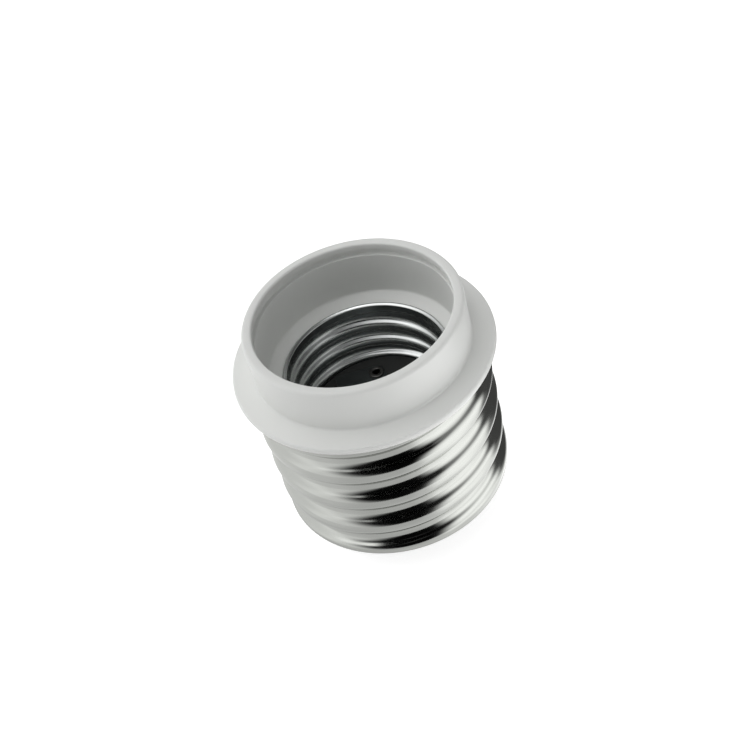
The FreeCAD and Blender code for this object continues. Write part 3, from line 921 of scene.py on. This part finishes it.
class ADAPTER_OT_insulator(bpy.types.Operator):
    """Turns the black cone that closes the outer shell"""

    bl_idname = "adapter.insulator"
    bl_label = "Turn the Base Insulator"

    def execute(self, context):
        sizes = context.scene.adapter_base
        rim_low = SHELL_LOW.z + context.scene.adapter_shell.lip_thickness
        rim_high = BASE_HIGH.z - sizes.spigot_height
        stem = sizes.stem_radius + context.scene.adapter_contact.play
        turned_piece("insulator_cone", sizes.turns, [
            (point(sizes.channel_radius, BASE_HIGH.z), sizes.edge_rounding),
            (point(sizes.spigot_radius, BASE_HIGH.z), sizes.cone_rounding),
            (point(sizes.spigot_radius, rim_high), 0),
            (point(sizes.rim_radius, rim_high), sizes.edge_rounding),
            (point(sizes.rim_radius, rim_low), 0),
            (point(sizes.neck_radius, rim_low), 0),
            (point(sizes.neck_radius, SHELL_LOW.z), sizes.cone_rounding),
            (point(sizes.foot_radius, sizes.tip_thickness), sizes.foot_rounding),
            (point(stem, sizes.tip_thickness), 0),
            (point(stem, TIP_HIGH.z), 0),
            (point(sizes.channel_radius, TIP_HIGH.z), 0),
        ], "moulded_black", "adapter", "black_plastic", "base_insulator")
        return {"FINISHED"}


class ADAPTER_OT_tip(bpy.types.Operator):
    """Turns the tip contact"""

    bl_idname = "adapter.tip"
    bl_label = "Turn the Tip Contact"

    def execute(self, context):
        sizes = context.scene.adapter_base
        turned_piece("tip_cap", sizes.turns, [
            (point(sizes.dimple_radius, TIP_LOW.z), sizes.dimple_rounding),
            (point(TIP_HIGH.x, TIP_LOW.z), sizes.tip_rounding),
            (point(TIP_HIGH.x, sizes.tip_thickness), sizes.edge_rounding),
            (point(sizes.stem_radius, sizes.tip_thickness), 0),
            (point(sizes.stem_radius, TIP_HIGH.z), sizes.stem_rounding),
            (point(sizes.tip_bore, TIP_HIGH.z), sizes.stem_rounding),
            (point(sizes.tip_bore, sizes.dimple_depth), sizes.stem_rounding),
        ], "plated_shell", "adapter", "nickel_plate", "tip_contact")
        return {"FINISHED"}


class ADAPTER_OT_solder(bpy.types.Operator):
    """Fills the tip contact's bore and dimple with solder"""

    bl_idname = "adapter.solder"
    bl_label = "Fill the Solder"

    def execute(self, context):
        sizes = context.scene.adapter_base
        slope = (sizes.dimple_radius - sizes.tip_bore) / sizes.dimple_depth
        edge = sizes.dimple_radius - slope * SOLDER_LOW.z
        face = 0.7 * edge
        turned_piece("solder_fill", RIVET_TURNS, [
            (point(0, SOLDER_LOW.z), 0),
            (point(face, SOLDER_LOW.z), sizes.solder_rounding),
            (point(edge, 2 * SOLDER_LOW.z), sizes.solder_edge),
            (point(sizes.tip_bore, sizes.dimple_depth), 0),
            (point(sizes.tip_bore, SOLDER_HIGH.z), 0),
            (point(0, SOLDER_HIGH.z), 0),
        ], "set_solder", "adapter", "solder", "tip_solder")
        return {"FINISHED"}


class ADAPTER_OT_carried(bpy.types.Operator):
    """Finishes the flat pieces that keep their own form: the floor disc and the straps"""

    bl_idname = "adapter.carried"
    bl_label = "Finish the Disc and Straps"

    def execute(self, context):
        coat_node("floor_disc", bpy.data.materials["fibre_board"])
        for name in ("centre_strap", "side_strap"):
            coat_node(name, bpy.data.materials["rolled_brass"])
        return {"FINISHED"}


# Light round the tent, and painted light on the floor: bearings in degrees from the front, to the right, and
# brightness.
TENT_LOW = (
    (-180, 0.6), (-150, 0.72), (-110, 0.72), (-85, 0.85), (-65, 0.72), (-30, 0.5), (0, 0.45), (30, 0.6),
    (60, 0.6), (84, 0.2), (94, 0.06), (118, 0.06), (135, 0.2), (160, 0.45), (180, 0.6),
)
TENT_HIGH = (
    (-180, 0.5), (-150, 0.95), (-120, 1.4), (-90, 1.5), (-60, 1.15), (-30, 0.75), (0, 0.37), (30, 0.2),
    (90, 0.17), (120, 0.08), (150, 0.2), (180, 0.5),
)
FLOOR_FAR = (
    (-180, 0.9), (-150, 0.9), (-110, 0.72), (-85, 0.7), (-65, 0.62), (-30, 0.5), (0, 0.5), (12, 0.62),
    (26, 1.05), (50, 1.2), (72, 1.0), (84, 0.2), (94, 0.06), (118, 0.06), (135, 0.6), (160, 0.9), (180, 0.9),
)
FLOOR_NEAR = (
    (-180, 0.6), (-90, 0.53), (-30, 0.5), (0, 0.57), (30, 0.72), (60, 0.9), (90, 1.0), (130, 1.0),
    (180, 0.6),
)

# Elevations in degrees, each from where a change begins to where it ends.
WALL_CHANGE = (38.0, 58.0)
ZENITH_EDGE = (75.0, 83.0)
OPENING_FOOT = (-10.0, 4.0)
OPENING_HEAD = (46.0, 56.0)

# The front opening's bearing and half width: degrees for each degree up, and degrees at the horizon.
OPENING_MIDDLE = (-0.2, -4.0)
OPENING_HALF = (0.75, 20.0)

# Where its sides fade, in degrees inside and outside the half width.
OPENING_SIDES = (-16.0, 20.0)

# Soft edges as shares of a card's size: its first side, its other side, and top and bottom.
CARD_FADES = (0.15, 0.15, 0.15)
PANEL_FADES = (0.2, 0.38, 0.5)
CARD_EDGE = 0.5

FLOOR_SIZE = 6.0
PAPER_ROUGHNESS = 0.9


def bearing(tree, across, forward):
    """Degrees round the axis from the front, to the right."""
    backwards = math_node(tree, "MULTIPLY", forward, -1.0)
    return math_node(tree, "DEGREES", math_node(tree, "ARCTAN2", across, backwards))


def light_profile(tree, around, stops):
    """Light round the tent: each stop is a bearing in degrees and a brightness."""
    brightest = max(level for _, level in stops)
    node = tree.nodes.new("ShaderNodeValToRGB")
    tree.links.new(math_node(tree, "MULTIPLY_ADD", around, 1 / 360, 0.5), node.inputs[0])
    ramp = node.color_ramp
    ramp.interpolation = "EASE"
    while len(ramp.elements) < len(stops):
        ramp.elements.new(0.5)
    for element, (heading, level) in zip(ramp.elements, stops):
        element.position = heading / 360 + 0.5
        element.color = (level / brightest, level / brightest, level / brightest, 1)
    return math_node(tree, "MULTIPLY", node.outputs[0], brightest)


def lay_floor(settings):
    """A plain pale floor. Reflections and bounced light see it glow with painted light, lit as the tent's
    walls are.
    """
    bpy.ops.object.select_all(action="DESELECT")
    bpy.ops.mesh.primitive_plane_add(size=FLOOR_SIZE)
    floor = bpy.context.object
    floor.name = "studio_floor"
    tone = settings.floor_tone
    material, shader = new_material("studio_paper", (tone, tone, tone), PAPER_ROUGHNESS)
    tree = material.node_tree
    place, parts = coordinates(tree, "Object")
    around = bearing(tree, parts["X"], parts["Y"])
    away = tree.nodes.new("ShaderNodeVectorMath")
    away.operation = "LENGTH"
    tree.links.new(place, away.inputs[0])
    near = light_profile(tree, around, FLOOR_NEAR)
    far = light_profile(tree, around, FLOOR_FAR)
    glow = ramp_node(tree, away.outputs["Value"], settings.floor_near, settings.floor_far, near, far)
    # Painted light: in reflections and bounced light the floor glows by bearing and distance.
    painted_floor_light = tree.nodes.new("ShaderNodeEmission")
    tree.links.new(math_node(tree, "MULTIPLY", glow, settings.floor_glow), painted_floor_light.inputs["Strength"])
    shader.inputs["Emission Color"].default_value = (1, 1, 1, 1)
    shader.inputs["Emission Strength"].default_value = settings.floor_lift
    seen = tree.nodes.new("ShaderNodeLightPath")
    mix_surfaces(tree, seen.outputs["Is Camera Ray"], painted_floor_light, shader)
    coat(floor, material)


def hang_card(name, where, target, size, fades, light):
    """A card with soft edges that faces the target, out of the camera's sight: black, or a light panel."""
    bpy.ops.object.select_all(action="DESELECT")
    bpy.ops.mesh.primitive_plane_add(size=2 * CARD_EDGE, location=where)
    card = bpy.context.object
    card.name = name
    card.scale = (*size, 1)
    card.rotation_euler = (target - card.location).to_track_quat("Z", "Y").to_euler()
    card.visible_camera = False
    material, _ = new_material(name, (0, 0, 0), 1.0)
    tree = material.node_tree
    _, parts = coordinates(tree, "Object")
    first, other, across = fades
    mask = ramp_node(tree, parts["X"], -CARD_EDGE, first - CARD_EDGE)
    mask = ramp_node(tree, parts["X"], CARD_EDGE - other, CARD_EDGE, mask, 0.0)
    mask = ramp_node(tree, parts["Y"], -CARD_EDGE, across - CARD_EDGE, 0.0, mask)
    mask = ramp_node(tree, parts["Y"], CARD_EDGE - across, CARD_EDGE, mask, 0.0)
    surface = tree.nodes.new("ShaderNodeEmission")
    surface.inputs["Strength"].default_value = light
    mix_surfaces(tree, mask, tree.nodes.new("ShaderNodeBsdfTransparent"), surface)
    coat(card, material)
    return card


def light_tent(settings):
    """A white light tent: bright at the left and above, dim at the right, and open towards the camera."""
    world = bpy.data.worlds.new("light_tent")
    bpy.context.scene.world = world
    world.use_nodes = True
    tree = world.node_tree
    background = tree.nodes["Background"]
    _, parts = coordinates(tree, "Generated")
    around = bearing(tree, parts["X"], parts["Y"])
    up = math_node(tree, "DEGREES", math_node(tree, "ARCSINE", parts["Z"]))
    low = light_profile(tree, around, TENT_LOW)
    high = light_profile(tree, around, TENT_HIGH)
    walls = ramp_node(tree, up, *WALL_CHANGE, low, high)
    walls = ramp_node(tree, up, *ZENITH_EDGE, walls, settings.zenith)
    middle = math_node(tree, "MULTIPLY_ADD", up, *OPENING_MIDDLE)
    half = math_node(tree, "MULTIPLY_ADD", up, *OPENING_HALF)
    aside = math_node(tree, "ABSOLUTE", math_node(tree, "SUBTRACT", around, middle))
    opening = ramp_node(tree, math_node(tree, "SUBTRACT", aside, half), *OPENING_SIDES, 1.0, 0.0)
    opening = math_node(tree, "MULTIPLY", opening, ramp_node(tree, up, *OPENING_FOOT))
    opening = math_node(tree, "MULTIPLY", opening, ramp_node(tree, up, *OPENING_HEAD, 1.0, 0.0))
    closed = math_node(tree, "SUBTRACT", 1.0, opening)
    strength = math_node(tree, "MULTIPLY", math_node(tree, "MULTIPLY", walls, settings.tent), closed)
    strength = math_node(tree, "ADD", strength, settings.opening)
    seen = tree.nodes.new("ShaderNodeLightPath").outputs["Is Camera Ray"]
    strength = math_node(tree, "MULTIPLY", strength, math_node(tree, "SUBTRACT", 1.0, seen))
    strength = math_node(tree, "ADD", strength, seen)
    tree.links.new(strength, background.inputs["Strength"])
    background.inputs["Color"].default_value = (1, 1, 1, 1)


def set_camera(settings):
    """The camera at the photograph's viewing angle."""
    bpy.ops.object.select_all(action="DESELECT")
    bpy.ops.object.camera_add(location=settings.camera_place)
    camera = bpy.context.object
    camera.name = "studio_camera"
    camera.rotation_mode = "ZYX"
    camera.rotation_euler = (settings.camera_pitch, 0, settings.camera_roll)
    camera.data.sensor_width = settings.sensor
    camera.data.lens = settings.focal
    camera.data.clip_start = settings.clip_start
    bpy.context.scene.camera = camera


class ADAPTER_OT_stage(bpy.types.Operator):
    """Sets the floor, the light tent and the camera"""

    bl_idname = "adapter.stage"
    bl_label = "Set the Studio"

    def execute(self, context):
        settings = context.scene.adapter_studio
        lay_floor(settings)
        mouth = Vector((0, 0, SOCKET_HIGH.z))
        card_size = (settings.card_width, settings.card_depth)
        card = hang_card("studio_card", settings.card_place, mouth, card_size, CARD_FADES, 0.0)
        card.visible_diffuse = False
        card.visible_shadow = False
        beside = Vector((0, 0, settings.panel_place[2]))
        panel_size = (settings.panel_width, settings.panel_height)
        light = settings.panel_light
        hang_card("studio_panel", settings.panel_place, beside, panel_size, PANEL_FADES, light)
        light_tent(settings)
        context.scene.view_settings.view_transform = "Standard"
        set_camera(settings)
        return {"FINISHED"}


class ADAPTER_PT_panel(bpy.types.Panel):
    """Lists the steps and the sizes"""

    bl_idname = "ADAPTER_PT_panel"
    bl_label = "Lamp Socket Adapter"
    bl_space_type = "VIEW_3D"
    bl_region_type = "UI"
    bl_category = "Adapter"

    def draw(self, context):
        for step in STEPS:
            self.layout.operator(step.bl_idname)
        for name in GROUPS:
            box = self.layout.box()
            group = getattr(context.scene, name)
            for key in group.bl_rna.properties.keys():
                if key not in ("rna_type", "name"):
                    box.prop(group, key)


GROUPS = {
    "adapter_collar": CollarSizes,
    "adapter_shell": ShellSizes,
    "adapter_socket": SocketSizes,
    "adapter_contact": ContactSizes,
    "adapter_base": BaseSizes,
    "adapter_finishes": Finishes,
    "adapter_studio": StudioSettings,
}
STEPS = (
    ADAPTER_OT_finishes,
    ADAPTER_OT_collar,
    ADAPTER_OT_outer_shell,
    ADAPTER_OT_socket_shell,
    ADAPTER_OT_tongue,
    ADAPTER_OT_rivet,
    ADAPTER_OT_eyelets,
    ADAPTER_OT_insulator,
    ADAPTER_OT_tip,
    ADAPTER_OT_solder,
    ADAPTER_OT_carried,
    ADAPTER_OT_stage,
)


def register():
    """Registers the settings, the steps and the panel."""
    for name, group in GROUPS.items():
        bpy.utils.register_class(group)
        setattr(bpy.types.Scene, name, PointerProperty(type=group))
    for step in STEPS:
        bpy.utils.register_class(step)
    bpy.utils.register_class(ADAPTER_PT_panel)


def unregister():
    """Removes the panel, the steps and the settings."""
    bpy.utils.unregister_class(ADAPTER_PT_panel)
    for step in reversed(STEPS):
        bpy.utils.unregister_class(step)
    for name, group in reversed(GROUPS.items()):
        delattr(bpy.types.Scene, name)
        bpy.utils.unregister_class(group)


def main():
    """Runs every step in order."""
    register()
    bpy.ops.adapter.finishes()
    bpy.ops.adapter.collar()
    bpy.ops.adapter.outer_shell()
    bpy.ops.adapter.socket_shell()
    bpy.ops.adapter.tongue()
    bpy.ops.adapter.rivet()
    bpy.ops.adapter.eyelets()
    bpy.ops.adapter.insulator()
    bpy.ops.adapter.tip()
    bpy.ops.adapter.solder()
    bpy.ops.adapter.carried()
    bpy.ops.adapter.stage()


if __name__ == "__main__":
    main()
